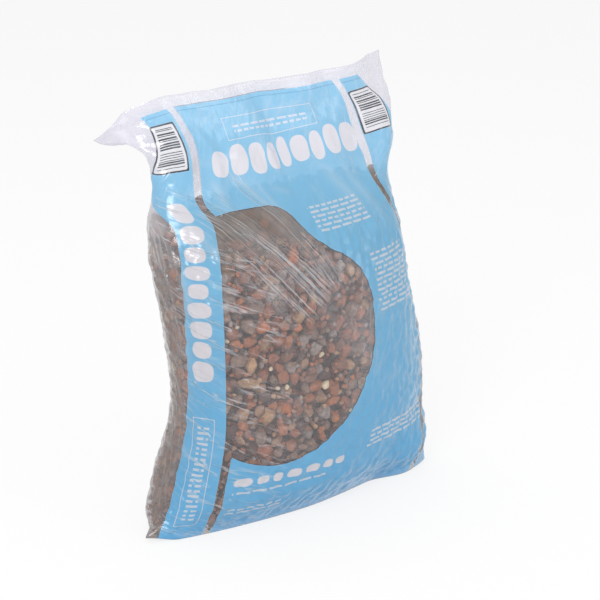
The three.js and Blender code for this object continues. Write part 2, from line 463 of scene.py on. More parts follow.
class Stones:
    """Places, sizes and turns of the stones, layer by layer from the film inwards."""

    def __init__(self, form):
        self.form = form
        self.random = np.random.default_rng(SEED)
        self.layers = [self.layer(depth) for depth in LAYER_DEPTHS]
        self.crown = self.heap_top()
        self.bed = self.floor_bed()
        self.corners = self.corner_fill()
        self.core = self.heap_core()

    def turned(self, normals, tilt):
        """Random turns with the stones' thin way near the normals."""
        turns = []
        for normal in normals:
            lie = Vector(normal).to_track_quat("Z", "X").to_matrix()
            spin = Euler((*self.random.normal(0, tilt, 2), self.random.uniform(0, 2 * math.pi))).to_matrix()
            turns.append(np.array(lie @ spin))
        return np.array(turns)

    def layer(self, depth):
        """Stones at one depth under the film, the large ones first and small ones between them."""
        form = self.form
        tries = STONE_TRIES
        least, tilt, clearance = 0, DEEP_TILT, DEEP_CLEARANCE
        if depth == 0:
            least, tilt, clearance = -SMALL_FILL, FILM_TILT, TIP_CLEARANCE
        turn = self.random.uniform(-GIRTH / 2, GIRTH / 2, tries)
        height = self.random.uniform(LOWEST_STONE, ROCK_HEIGHT, tries)
        rank = np.arange(tries) / tries
        size = STONE_SMALL + (STONE_LARGE - STONE_SMALL) * np.clip(1 - rank * SIZE_FALL, least, 1)
        size = size * self.random.uniform(1 - SIZE_SPREAD, 1 + SIZE_SPREAD, tries)
        skin = form.at(form.points, turn, height)
        normal = form.at(form.normals, turn, height)
        normal = normal / np.linalg.norm(normal, axis=1, keepdims=True)
        lie = self.turned(normal, tilt)
        forms = STONE_FORM * self.random.uniform(1 - STONE_SPREAD, 1 + STONE_SPREAD, (tries, 3))
        half = size[:, None] / 2 * forms
        facing = np.einsum("nij,ni->nj", lie, normal)
        reach = np.sqrt(((half * facing) ** 2).sum(axis=1))
        sunk = depth + reach + self.random.uniform(*FILM_GAP, tries)
        place = skin - normal * sunk[:, None]
        inside = (place[:, 2] > reach_down(lie, half) + TIP_CLEARANCE) & (place[:, 2] < ROCK_HEIGHT)
        inside = inside & self.tips_inside(place, half, lie, clearance)
        return self.spread(size, inside, place=place, half=half, lie=lie, turn=turn, height=height)

    def heap_top(self):
        """Stones that cover the heap's top inside the neck."""
        form = self.form
        tries = STONE_TRIES // 3
        row = np.interp(ROCK_HEIGHT, form.heights, np.arange(FILM_ROWS)).astype(int)
        low, high = limits(form.points[row])
        place = self.random.uniform(low, high, (tries, 3))
        size = self.random.uniform(*CROWN_SIZES, tries) * STONE_LARGE * CROWN_SHARE
        half = size[:, None] / 2 * STONE_FORM
        reach = half[:, 0]
        place[:, 2] = ROCK_HEIGHT
        full = form.room(place, np.zeros(tries))
        place[:, 2] += ROCK_CROWN * (1 - np.clip(full, 0, 1)) - reach
        lie = self.turned(np.tile(UPRIGHT, (tries, 1)), CROWN_TILT)
        inside = form.room(place + UPRIGHT * reach[:, None], reach) < CROWN_ROOM
        return self.spread(size, inside, place=place, half=half, lie=lie)

    def floor_bed(self):
        """Stones that lie on the base."""
        form = self.form
        tries = STONE_TRIES
        low, high = limits(form.points[0])
        place = self.random.uniform(low - BED_HEIGHT, high + BED_HEIGHT, (tries, 3))
        size = np.linspace(STONE_LARGE, BED_STONE_SMALL, tries)
        half = size[:, None] / 2 * STONE_FORM
        lie = self.turned(np.tile(UPRIGHT, (tries, 1)), BED_TILT)
        place[:, 2] = reach_down(lie, half) + TIP_CLEARANCE
        place[:, 2] += self.random.uniform(0, BED_HEIGHT, tries)
        inside = self.tips_inside(place, half, lie, BED_CLEARANCE)
        return self.spread(size, inside, place=place, half=half, lie=lie)

    def corner_fill(self):
        """Small stones that fill the narrow corners of the bag, low at its left and right sides."""
        form = self.form
        tries = STONE_TRIES
        low, high = limits(form.points[form.heights < CORNER_HEIGHT])
        place = self.random.uniform((low[0], low[1], 0), (high[0], high[1], CORNER_HEIGHT), (tries, 3))
        left = self.random.uniform(0, 1, tries) < 0.5
        inward = self.random.uniform(0, CORNER_REACH, tries)
        place[:, 0] = np.where(left, low[0] + inward, high[0] - inward)
        size = np.linspace(CORNER_STONE, BED_STONE_SMALL, tries)
        half = size[:, None] / 2 * STONE_FORM
        lie = self.turned(self.random.normal(0, 1, (tries, 3)), FREE_TILT)
        inside = self.tips_inside(place, half, lie, CORNER_CLEARANCE)
        inside = inside & (place[:, 2] > reach_down(lie, half) + CORNER_LIFT)
        return self.spread(size, inside, place=place, half=half, lie=lie)

    def heap_core(self):
        """Large stones that fill the middle of the heap behind the layers."""
        form = self.form
        tries = STONE_TRIES
        low, high = limits(form.points[:, :, :2])
        place = self.random.uniform((*low, CORE_STONE), (*high, ROCK_HEIGHT - CORE_STONE), (tries, 3))
        size = CORE_STONE * self.random.uniform(*CORE_SIZES, tries)
        half = size[:, None] / 2 * STONE_FORM
        lie = self.turned(self.random.normal(0, 1, (tries, 3)), FREE_TILT)
        inside = self.tips_inside(place, half, lie, CORE_DEPTH)
        return self.spread(size * CORE_OVERLAP, inside, place=place, half=half, lie=lie)

    def tips_inside(self, place, half, lie, clearance):
        """Which stones stay inside the film by a clearance, tried to 26 sides."""
        inside = np.ones(len(place), bool)
        for way in itertools.product((-1, 0, 1), repeat=3):
            if any(way):
                outward = np.array(way) / np.linalg.norm(way) * (half + clearance)
                tip = place + np.einsum("nij,nj->ni", lie, outward)
                inside &= self.form.room(tip, 0) < 1
        return inside

    def spread(self, size, allowed, **stones):
        """The allowed stones that keep clear of those chosen before them."""
        place = stones["place"]
        kept = []
        for i in np.flatnonzero(allowed):
            if kept:
                gap = np.linalg.norm(place[kept] - place[i], axis=1)
                if (gap < PACKING * (size[kept] + size[i]) / 2).any():
                    continue
            kept.append(i)
        return {name: values[kept] for name, values in stones.items()}


# Long tension folds: distance from the front's middle and height on the film, for start and end,
# then how high and wide the fold is
LONG_FOLDS = [
    (-108, 390, -36, 284, 2.6, 4.0),
    (-96, 396, -20, 268, 3.2, 4.5),
    (-84, 398, -8, 250, 3.0, 4.0),
    (-66, 410, 14, 270, 2.6, 5.0),
    (-66, 436, 14, 284, 3.0, 4.0),
    (-56, 436, 24, 284, 2.6, 3.5),
    (-114, 356, -44, 268, 2.2, 4.0),
    (-116, 332, -58, 262, 1.6, 3.5),
    (-78, 446, -44, 396, 2.4, 5.0),
    (-104, 440, -88, 392, 2.6, 6.0),
    (40, 440, 92, 350, 2.0, 8.0),
    (70, 430, 112, 340, 1.8, 7.0),
    (-150, 400, -118, 330, 2.4, 6.0),
    (-178, 380, -168, 250, 2.6, 6.0),
    (-196, 360, -186, 200, 2.2, 6.0),
]
# Short creases by zone: count, across from and to, up from and to, slope, height and width
CREASE_ZONES = [
    (26, -140, -60, 120, 340, -0.45, 1.3, 3.0),
    (34, -206, -125, 20, 380, -0.2, 1.2, 3.0),
    (20, -140, 120, 15, 110, 0.1, 0.7, 4.0),
    (16, 60, 150, 60, 330, 0.9, 0.9, 5.0),
    (30, -110, 110, 400, 520, -0.6, 1.3, 4.0),
    (26, -108, 104, 500, 524, 1.6, 2.2, 2.6),
    (16, -205, -110, 400, 530, 0.8, 1.2, 5.0),
    (14, 110, 205, 390, 530, -0.9, 1.2, 5.0),
    (40, -400, -215, 20, 380, 0.2, 1.2, 4.0),
    (50, 215, 400, 20, 380, -0.2, 1.2, 4.0),
]


# Half the length of a short crease, and how its slope, size and width spread
CREASE_HALF = (9, 26)
CREASE_TURN = 0.25
CREASE_SIZES = (0.4, 1.0)
CREASE_WIDTHS = (0.7, 1.3)
# Waves of the empty film: seed, height, pitch across and up
WAVES = [(3, 4.5, 46, 90), (4, 2.0, 19, 42)]
# Crumples: seed, pitch across and up, height, and how much higher they are in the header
CRUMPLES = [(5, 26, 34, 0.9, 1.6), (6, 13, 15, 0.4, 0.8)]
# The film lies flat and smooth on the floor up to this height
FLAT_HEIGHT = 14.0


def fold_table():
    """The long folds and the seeded short creases of every zone."""
    random = np.random.default_rng(SEED + 1)
    folds = list(LONG_FOLDS)
    for count, left, right, low, high, slope, rise, width in CREASE_ZONES:
        for _ in range(count):
            x = random.uniform(left, right)
            y = random.uniform(low, high)
            angle = math.atan(slope) + random.normal(0, CREASE_TURN)
            half = random.uniform(*CREASE_HALF)
            dx = half * math.cos(angle)
            dy = half * math.sin(angle)
            size = rise * random.uniform(*CREASE_SIZES)
            folds.append((x - dx, y - dy, x + dx, y + dy, size, width * random.uniform(*CREASE_WIDTHS)))
    return folds


def fold_relief(form):
    """Height of all folds on the film."""
    relief = np.zeros_like(form.arc)
    for x0, y0, x1, y1, rise, width in fold_table():
        dx = x1 - x0
        dy = y1 - y0
        length = math.hypot(dx, dy)
        t = np.clip(((form.arc - x0) * dx + (form.up - y0) * dy) / length ** 2, 0, 1)
        off = np.hypot(form.arc - x0 - t * dx, form.up - y0 - t * dy)
        taper = np.sin(np.pi * np.clip(t, 0.02, 0.98)) ** 0.7
        relief = np.maximum(relief, rise * taper * np.exp(-(off / width) ** 1.4))
    return relief


def soften(values):
    """Evens a grid out by one step, round the girth and up the rows."""
    values = (np.roll(values, 1, axis=1) + 2 * values + np.roll(values, -1, axis=1)) / 4
    padded = np.pad(values, ((1, 1), (0, 0)), mode="edge")
    return (padded[:-2] + 2 * values + padded[2:]) / 4


def stone_relief(form, stones):
    """How far the film may dip before it meets a stone, evened out."""
    dip = np.full(form.arc.shape, FILM_SAG)
    row_pitch = STAND_HEIGHT / (FILM_ROWS - 1)
    outer = stones.layers[0]
    rows = zip(*(outer[key] for key in ("place", "half", "lie", "turn", "height")))
    for place, half, lie, turn, height in rows:
        spread = half[0] * HOLD_REACH
        low = max(0, int((height - spread) / row_pitch))
        high = min(FILM_ROWS, int((height + spread) / row_pitch) + 2)
        near = np.abs((form.round - turn + GIRTH / 2) % GIRTH - GIRTH / 2) < spread
        block = np.ix_(np.arange(low, high), np.flatnonzero(near))
        shrink = (lie / half).T
        start = (form.points[block] - place) @ shrink.T
        ahead = -form.normals[block] @ shrink.T
        a = (ahead ** 2).sum(axis=2)
        b = (start * ahead).sum(axis=2)
        root = b * b - a * ((start ** 2).sum(axis=2) - 1)
        hit = (-b - np.sqrt(np.maximum(root, 0))) / a
        dip[block] = np.minimum(dip[block], np.where(root > 0, hit - FILM_CLEARANCE, FILM_SAG))
    even = dip
    for _ in range(3):
        even = np.minimum(soften(even), dip)
    return soften(even)


def film_points(form, stones):
    """The film's points with stones, folds and waves, and the height of its folds."""
    z = form.heights[:, None]
    held = 1 - smooth(z, ROCK_HEIGHT - 30, ROCK_HEIGHT + 6)
    dip = stone_relief(form, stones)
    folds = fold_relief(form)
    across = np.broadcast_to(form.across, form.arc.shape)
    free = smooth(z, ROCK_HEIGHT - 20, NECK_HEIGHT) * (1 - smooth(np.abs(across), 170, 208))
    header = smooth(z, ROCK_HEIGHT, NECK_HEIGHT) * (1 - smooth(z, STAND_HEIGHT - 22, STAND_HEIGHT - 6))
    wave = sum(rise * drift(seed, across, form.up, *pitches) for seed, rise, *pitches in WAVES)
    loft = form.facing * wave * free
    for seed, pitch_x, pitch_y, rise, more in CRUMPLES:
        ridges = 1.0 - np.abs(drift(seed, form.arc, form.up, pitch_x, pitch_y))
        loft = loft + ridges * (rise + more * header)
    offset = folds * (0.6 + 0.4 * held) + loft - dip * held
    points = form.points + form.normals * (offset * smooth(z, 0, FLAT_HEIGHT))[..., None]
    points[..., 2] = np.maximum(points[..., 2], 0)
    return points, folds


def box_edge(x, y, left, right, low, high):
    """Distance inside a rectangle, below zero outside."""
    return np.minimum(np.minimum(x - left, right - x), np.minimum(y - low, high - y))


def boxes_edge(x, y, boxes):
    """Distance inside the nearest of several rectangles."""
    return np.maximum.reduce([box_edge(x, y, *box) for box in boxes])


def pebble_edge(x, y, centre, half):
    """Distance inside a rounded pebble figure, about true near its edge."""
    power = 2.7
    across = np.abs((x - centre[0]) / half[0]) ** power
    upward = np.abs((y - centre[1]) / half[1]) ** power
    return (1 - (across + upward) ** (1 / power)) * min(half)


def bezier(start, first, second, end, count):
    t = np.linspace(0, 1, count, endpoint=False)[:, None]
    a, b, c, d = (np.array(p, float) for p in (start, first, second, end))
    return a * (1 - t) ** 3 + 3 * b * t * (1 - t) ** 2 + 3 * c * t * t * (1 - t) + d * t ** 3


def window_outline():
    """The clear window: straight on the left, round below and a waist above."""
    runs = []
    start = WINDOW_START
    for first, second, end in WINDOW_CURVES:
        runs.append(bezier(start, first, second, end, 16))
        start = end
    return np.concatenate(runs + [np.array([start], float)])


def polygon_edge(x, y, corners):
    """Distance inside a closed outline, below zero outside."""
    nearest = np.full(x.shape, np.inf)
    inside = np.zeros(x.shape, bool)
    for (x0, y0), (x1, y1) in zip(corners, np.roll(corners, -1, axis=0)):
        dx = x1 - x0
        dy = y1 - y0
        t = np.clip(((x - x0) * dx + (y - y0) * dy) / (dx * dx + dy * dy), 0, 1)
        nearest = np.minimum(nearest, np.hypot(x - x0 - t * dx, y - y0 - t * dy))
        crosses = (y0 > y) != (y1 > y)
        rise = dy if dy else 1e-9
        inside ^= crosses & (x < x0 + (y - y0) / rise * dx)
    return np.where(inside, nearest, -nearest)


def print_edges(x, y):
    """Distances inside each kind of print, from the place across and up the film."""
    random = np.random.default_rng(SEED + 2)
    strip_middle = -STRIPE - STRIP_WIDTH / 2
    far_strip = PANEL_WIDTH + STRIPE
    window = polygon_edge(x, y, window_outline())
    panel = np.minimum(box_edge(x, y, 0, PANEL_WIDTH, PRINT_LOW, PRINT_TOP), -window)
    far_edge = far_strip + through(FAR_STRIP_EDGE, 1, y)
    left_strip = box_edge(x, y, through(STRIP_EDGE, 1, y), -STRIPE, PRINT_LOW, PRINT_TOP)
    right_strip = box_edge(x, y, far_strip, far_edge, PRINT_LOW, PRINT_TOP)
    ink = np.maximum(panel, np.maximum(left_strip, right_strip))

    # Rows of plain white pebble figures: two across the panel, one up the strip
    figures = []
    at, end, gap = HEAD_ROW
    while at < end:
        half = (random.uniform(8.5, 15.5), random.uniform(15, 20))
        figures.append(((at + half[0], HEAD_HEIGHT + random.uniform(-2, 2)), half))
        at += 2 * half[0] + gap
    at, end, gap = STRIP_ROW
    while at < end:
        half = (random.uniform(11, 14), random.uniform(8, 13))
        figures.append(((strip_middle, at + half[1]), half))
        at += 2 * half[1] + gap
    at, end, gap = FOOT_ROW
    while at < end:
        half = (random.uniform(4, 12), FOOT_HALF)
        figures.append(((at + half[0], FOOT_HEIGHT), half))
        at += 2 * half[0] + gap
    white = np.maximum.reduce([pebble_edge(x, y, *figure) for figure in figures])

    # Plain boxes with bars, one on each strip, thin frames, and blocks of short plain dashes
    labels = [(-STRIPE - 56, -STRIPE - 4, 454, 513), (far_strip + 1, far_strip + 40, 452, 511)]
    frames = [(58, 218, 480, 507), (strip_middle - 13, strip_middle + 13, 22, 152)]
    blocks = DASH_BLOCKS + [(strip_middle - 7, strip_middle + 7, 30, 144)]
    label = np.minimum(boxes_edge(x, y, labels), ink)
    return {"ink_edge": ink, "white_edge": white, "label_edge": label, "bar_edge": label - BAR_MARGIN,
            "rim_edge": boxes_edge(x, y, frames), "dash_edge": boxes_edge(x, y, blocks)}


def film_mesh(form, points, fields):
    """One closed bag mesh: the film's rows, its folded-under base and its welded top edge."""
    columns = len(form.round)
    base = form.points[0].copy()
    middle = base.copy()
    middle[:, 1] = form.middle_y[0]
    under = [base + (middle - base) * k / BASE_ROWS for k in range(BASE_ROWS, 0, -1)]
    rows = np.concatenate([np.array(under), points])
    other_side = 1000 * (form.facing[:, None] == form.facing)
    mirror = np.argmin(np.abs(form.across[:, None] - form.across) + other_side, axis=1)
    rows[-1] = (points[-1] + points[-1][mirror]) / 2
    rows[-1][:, 2] = form.points[-1][:, 2]
    count = len(rows)
    index = np.arange(count * columns).reshape(count, columns)
    right = np.roll(index, -1, axis=1)
    faces = np.stack([index[:-1], right[:-1], right[1:], index[1:]], axis=-1).reshape(-1, 4)
    mesh = bpy.data.meshes.new("film_bag_visual")
    mesh.from_pydata((rows.reshape(-1, 3) * MM).tolist(), [], faces.tolist())
    for name, values in fields.items():
        whole = np.concatenate([np.repeat(values[:1], BASE_ROWS, axis=0), values])
        layer = mesh.attributes.new(name, "FLOAT", "POINT")
        layer.data.foreach_set("value", whole.astype(np.float32).ravel())
    mesh.shade_smooth()
    return mesh


def print_places(form):
    """Where each point of the film lies on the print: across from the panel's left edge."""
    left = through(PANEL_LEFT, 1, form.up_film)
    right = through(PANEL_RIGHT, 1, form.up_film)
    across = [-PRINT_BESIDE, 0, PANEL_WIDTH, PANEL_WIDTH + PRINT_BESIDE]
    rows = []
    for arc, low, high in zip(form.arc, left, right):
        rows.append(np.interp(arc, [low - PRINT_BESIDE, low, high, high + PRINT_BESIDE], across))
    return np.array(rows)


FILM_INDEX = 1.5
# Fine folds by zone: which way they run in degrees, their length, spacing and strength,
# and the level of coarse noise under which they break off
FOLD_ZONES = [
    ("fan_zone", -50.0, 360.0, 4.6, 1.0, 0.2),
    ("neck_zone", -61.0, 300.0, 5.0, 1.0, 0.25),
    ("side_zone", -24.0, 60.0, 7.0, 1.0, 0.4),
    ("edge_zone", -84.0, 90.0, 10.0, 0.55, 0.32),
    ("soft_zone", 66.0, 60.0, 14.0, 0.3, 0.32),
]
FOLD_FADE = 0.26
FOLD_WIDTH = 0.055


def fold_zones(form, x, y):
    """How strongly fine folds show at each place, how milky or dusty the clear film is, and its painted
    shade along the foot.
    """
    def band(start, end, half):
        """A soft band from one place on the print to another."""
        run = np.subtract(end, start)
        length = np.hypot(*run)
        along = ((x - start[0]) * run[0] + (y - start[1]) * run[1]) / length
        off = np.abs((x - start[0]) * run[1] - (y - start[1]) * run[0]) / length
        ends = smooth(along, -14, 8) * smooth(-along, -length - 14, -length + 30)
        return smooth(-off, -1.5 * half, -0.5 * half) * ends

    # Each ramp runs between two places across (x) or up (y) the print, in millimetres
    front = np.broadcast_to(form.facing > 0, x.shape)
    fan = band((-6, 405), (112, 263), 30)
    neck = band((52, 440), (140, 280), 9)
    side = smooth(-x, -105, -10) * smooth(-y, -450, -410) * smooth(-x - 0.6 * y, -300, -235) * front
    edge = smooth(-x, 52, 72) * smooth(-y, -400, -360) + smooth(x, 345, 365) * 0.6
    soft = np.clip(smooth(x, 110, 190) * smooth(y, 20, 110) + smooth(y, 395, 440), 0, 1) * front
    soft = soft + 0.5 * (1 - front)
    left_side = smooth(-x, 50, 75) * (1 - smooth(-x, 130, 200))
    shoulder = left_side * smooth(y, 280, 380)
    milk = 0.25 + 0.32 * smooth(x, 90, 180) + 0.35 * smooth(y, 320, 400) + 0.2 * smooth(-x, 50, 80)
    trap = smooth(x, -STRIPE, 8) * smooth(-x, -200, -190) * front
    heaped = smooth(-y, -412, -398)
    top = smooth(y, 305, 375) * smooth(x, -60, -30) * front
    sides = 0.8 * left_side - 0.55 * shoulder
    # Dust at the heap's top and sides; the band along the foot is painted shade where the film meets the
    # floor
    dust_and_shade = np.maximum(np.maximum(top, sides) * heaped, smooth(-y, -40, -12))
    return {"fan_zone": fan, "neck_zone": neck, "side_zone": side, "edge_zone": edge, "soft_zone": soft,
            "milk": 0.6 * (np.clip(milk, 0, 1) + shoulder), "trap_zone": trap, "dust_and_shade": dust_and_shade}


# Half the width over which a printed outline fades, in millimetres
EDGE_SOFT = 0.35
# Thin lines that follow a field: the field, its value on the line and half the line's width, in millimetres
PRINT_LINES = {
    "frame": ("rim_edge", 0.0, 0.5),
    "border": ("label_edge", 1.05, 1.05),
    "seal": ("print_y", SEAL_LINE, 0.7),
    "trap": ("ink_edge", -0.45, 0.45),
}
BAR_PITCH = 0.95
# Shares worked out for the film from earlier ones and numbers: name, operation and terms.
# Folds and creases whiten the film and make it less clear, partly as stress whitening and partly as painted
# highlight; print covers nearly all, and dust with its painted shade at the foot about half.
FILM_SHARES = [
    ("dashes", "MULTIPLY", "dash_edge", "dash"),
    ("dark", "GREATER_THAN", "chance", 0.5),
    ("bars", "MULTIPLY", "bar_edge", "dark"),
    ("thin", "MULTIPLY", "cloud", 0.22),
    ("bare", "SUBTRACT", 1.0, "ink_edge"),
    ("trap", "MULTIPLY", "trap", "trap_zone"),
    ("dust_and_shade", "MULTIPLY", "bare", "dust_and_shade"),
    # Whitening along fold lines and creases: partly stress whitening, partly painted highlight
    ("line_whitening_and_glint", "MULTIPLY", "lines", 0.5),
    ("crease_whitening_and_glint", "MULTIPLY", "crease", 0.3),
    ("whitening_and_glint", "MAXIMUM", "line_whitening_and_glint", "crease_whitening_and_glint"),
    ("haze_and_glint", "MULTIPLY_ADD", "crease_whitening_and_glint", 0.47, 0.04),
    ("haze_and_glint", "ADD", "line_whitening_and_glint", "haze_and_glint"),
    ("haze_and_glint", "MULTIPLY_ADD", "cloud", "milk", "haze_and_glint"),
    ("inked", "MULTIPLY", "ink_edge", 0.91),
    ("dusty_and_shaded", "MAXIMUM", "trap", "dust_and_shade"),
    ("dusty_and_shaded", "MULTIPLY", "dusty_and_shaded", 0.6),
    ("cover", "MAXIMUM", "inked", "haze_and_glint"),
    ("cover", "MAXIMUM", "cover", "dusty_and_shaded"),
]
# Colours of the film: the blue below and above, darker low as painted shade and lighter high as painted
# light, then what is laid over it, each by its share; dust carries painted shade at the foot, and the paler
# folds partly a painted highlight
SHADED_BLUE_LOW = "#62baf0"
LIT_BLUE_HIGH = "#88caee"
FILM_PAINTS = [
    ("thin", "#a4daf7"), ("seal", "#74b3da"), ("white_edge", "#eceaf2"), ("dashes", "#d6e2f1"),
    ("frame", "#d2dff0"), ("label_edge", "#efeef2"), ("border", "#2c333d"), ("bars", "#2c333d"),
    ("bare", "#eceaf1"), ("dust_and_shade", "#93877f"), ("trap", "#55555c"), ("whitening_and_glint", "#e6eff6"),
]
GLOW_SHARE = 0.3


def fold_lines(tree, place, field):
    """Fine folds: lines where stretched noise crosses its middle value, broken up by coarser noise."""
    lines = 0.0
    for zone, angle, length, spacing, strength, least in FOLD_ZONES:
        runs = add_node(tree, "ShaderNodeMapping", {
            "Vector": place, "Rotation": (0, 0, math.radians(angle)), "Scale": (length, spacing, 1),
        }, vector_type="TEXTURE")
        noise = add_node(tree, "ShaderNodeTexNoise", {"Vector": runs, "Scale": 1.0, "Detail": 2.0})
        off = add_node(tree, "ShaderNodeMath", {0: noise, 1: 0.5}, operation="SUBTRACT")
        size = add_node(tree, "ShaderNodeMath", {0: off}, operation="ABSOLUTE")
        fold = add_node(tree, "ShaderNodeMapRange", {
            "Value": size, "From Max": FOLD_WIDTH, "To Min": strength, "To Max": 0.0,
        }, interpolation_type="SMOOTHSTEP")
        patches = add_node(tree, "ShaderNodeTexNoise", {"Vector": runs, "Scale": 0.6, "Detail": 1.0})
        broken = add_node(tree, "ShaderNodeMapRange", {
            "Value": patches, "From Min": least, "From Max": least + FOLD_FADE,
        })
        for share in (broken, field[zone]):
            fold = add_node(tree, "ShaderNodeMath", {0: fold, 1: share}, operation="MULTIPLY")
        lines = add_node(tree, "ShaderNodeMath", {0: fold, 1: lines}, operation="MAXIMUM")
    return lines


def film_material(fields):
    """Clear blown polyethylene with sky-blue flexo print: glossy, faintly milky, whiter at its creases
    partly as painted highlight, and its blue painted darker low and lighter high as shade and light.
    """
    material, tree = new_material("printed_polyethylene_film")
    field = {name: add_node(tree, "ShaderNodeAttribute", out="Fac", attribute_name=name) for name in fields}
    place = add_node(tree, "ShaderNodeCombineXYZ", {"X": field["print_x"], "Y": field["print_y"]})
    share = dict(field)
    for name in ("ink_edge", "white_edge", "label_edge", "bar_edge", "dash_edge"):
        share[name] = add_node(tree, "ShaderNodeMapRange", {
            "Value": field[name], "From Min": -EDGE_SOFT, "From Max": EDGE_SOFT,
        })
    for name, (source, middle, half) in PRINT_LINES.items():
        terms = {0: field[source], 1: middle, 2: half}
        share[name] = add_node(tree, "ShaderNodeMath", terms, operation="COMPARE")
    # Dashes 18 by 6 mm with 1.7 mm between them, bars from one seeded value for each row, and clouds of ink
    share["dash"] = add_node(tree, "ShaderNodeTexBrick", {
        "Vector": place, "Color1": (1, 1, 1, 1), "Color2": (1, 1, 1, 1), "Mortar": (0, 0, 0, 1),
        "Scale": 0.05, "Mortar Size": 0.085, "Mortar Smooth": 0.1, "Brick Width": 0.9, "Row Height": 0.3,
    }, offset=0.37, squash=0.6, squash_frequency=3)
    row = add_node(tree, "ShaderNodeMath", {0: field["print_y"], 1: BAR_PITCH}, operation="SNAP")
    share["chance"] = add_node(tree, "ShaderNodeTexWhiteNoise", {"W": row}, noise_dimensions="1D")
    share["cloud"] = add_node(tree, "ShaderNodeTexNoise", {"Vector": place, "Scale": 0.02, "Detail": 4.0})
    share["lines"] = fold_lines(tree, place, field)
    for name, operation, *terms in FILM_SHARES:
        values = {i: share.get(term, term) for i, term in enumerate(terms)}
        share[name] = add_node(tree, "ShaderNodeMath", values, operation=operation)

    # The blue is darker low and lighter high: painted shade at the foot, painted light in the header
    height = add_node(tree, "ShaderNodeMapRange", {"Value": field["print_y"], "From Max": PRINT_TOP})
    blues = {0: height, 6: linear(SHADED_BLUE_LOW), 7: linear(LIT_BLUE_HIGH)}
    colour = add_node(tree, "ShaderNodeMix", blues, 2, data_type="RGBA")
    for name, paint in FILM_PAINTS:
        layers = {0: share[name], 6: colour, 7: linear(paint)}
        colour = add_node(tree, "ShaderNodeMix", layers, 2, data_type="RGBA")

    relief = add_node(tree, "ShaderNodeBump", {
        "Height": share["lines"], "Strength": 0.7, "Distance": 0.001,
    })
    body = add_node(tree, "ShaderNodeBsdfPrincipled", {
        "Base Color": colour, "Roughness": 0.5, "Specular IOR Level": 0.0, "Normal": relief,
    })
    glow = add_node(tree, "ShaderNodeBsdfTranslucent", {"Color": colour, "Normal": relief})
    lit = add_node(tree, "ShaderNodeMixShader", {0: GLOW_SHARE, 1: body, 2: glow})
    clear = add_node(tree, "ShaderNodeBsdfTransparent", {"Color": linear("#fbfbff")})
    sheet = add_node(tree, "ShaderNodeMixShader", {0: share["cover"], 1: clear, 2: lit})
    gloss = add_node(tree, "ShaderNodeBsdfGlossy", {
        "Color": (1, 1, 1, 1), "Roughness": 0.16, "Normal": relief,
    })
    # A film shines alike from both sides, so the index is turned over where its back is seen
    behind = add_node(tree, "ShaderNodeNewGeometry", out="Backfacing")
    index = add_node(tree, "ShaderNodeMapRange", {
        "Value": behind, "To Min": FILM_INDEX, "To Max": 1 / FILM_INDEX,
    })
    shine = add_node(tree, "ShaderNodeFresnel", {"IOR": index, "Normal": relief})
    surface = add_node(tree, "ShaderNodeMixShader", {0: shine, 1: sheet, 2: gloss})
    add_node(tree, "ShaderNodeOutputMaterial", {"Surface": surface})
    return material


# Share of the stones up to which each colour runs
STONE_TONES = [
    (0.0, "#5a4033"), (0.1, "#84573c"), (0.26, "#965a38"), (0.42, "#866b58"), (0.54, "#a4653c"),
    (0.68, "#9a7555"), (0.78, "#bb6a34"), (0.83, "#8f7f74"), (0.91, "#b28a62"), (0.98, "#dac7a2"),
]
# Mottling of the stones, from spots of about 4 mm
STONE_SPOT = 0.004


def stone_material():
    """Water-worn river rock: rust, brown, tan and grey pebbles, dry and matt with mottled grain."""
    material, tree = new_material("river_rock_stone")
    tone = add_node(tree, "ShaderNodeAttribute", out="Fac", attribute_name="tone")
    ramp = add_node(tree, "ShaderNodeValToRGB", {"Fac": tone})
    stops = ramp.node.color_ramp
    stops.interpolation = "CONSTANT"
    while len(stops.elements) < len(STONE_TONES):
        stops.elements.new(1.0)
    for stop, (position, paint) in zip(stops.elements, STONE_TONES):
        stop.position = position
        stop.color = linear(paint)
    place = add_node(tree, "ShaderNodeTexCoord", out="Object")
    grain = add_node(tree, "ShaderNodeTexNoise", {
        "Vector": place, "Scale": 1 / STONE_SPOT, "Detail": 5.0, "Roughness": 0.65,
    })
    mottle = add_node(tree, "ShaderNodeMapRange", {
        "Value": grain, "From Min": 0.3, "From Max": 0.75, "To Min": 0.5, "To Max": 1.42,
    })
    colour = add_node(tree, "ShaderNodeVectorMath", {0: ramp, 1: mottle}, operation="MULTIPLY")
    bump = add_node(tree, "ShaderNodeBump", {"Height": grain, "Strength": 0.5, "Distance": 0.002})
    stone = add_node(tree, "ShaderNodeBsdfPrincipled", {
        "Base Color": colour, "Roughness": 0.7, "Normal": bump,
    })
    add_node(tree, "ShaderNodeOutputMaterial", {"Surface": stone})
    return material


# Inputs and output of the pebble nodes, and what their points carry
PEBBLE_SOCKETS = [
    ("Geometry", "INPUT", "NodeSocketGeometry"), ("Chipping", "INPUT", "NodeSocketFloat"),
    ("Sharp Angle", "INPUT", "NodeSocketFloat"), ("Geometry", "OUTPUT", "NodeSocketGeometry"),
]
POINT_VALUES = {"size": "FLOAT_VECTOR", "turn": "FLOAT_VECTOR", "kind": "INT"}


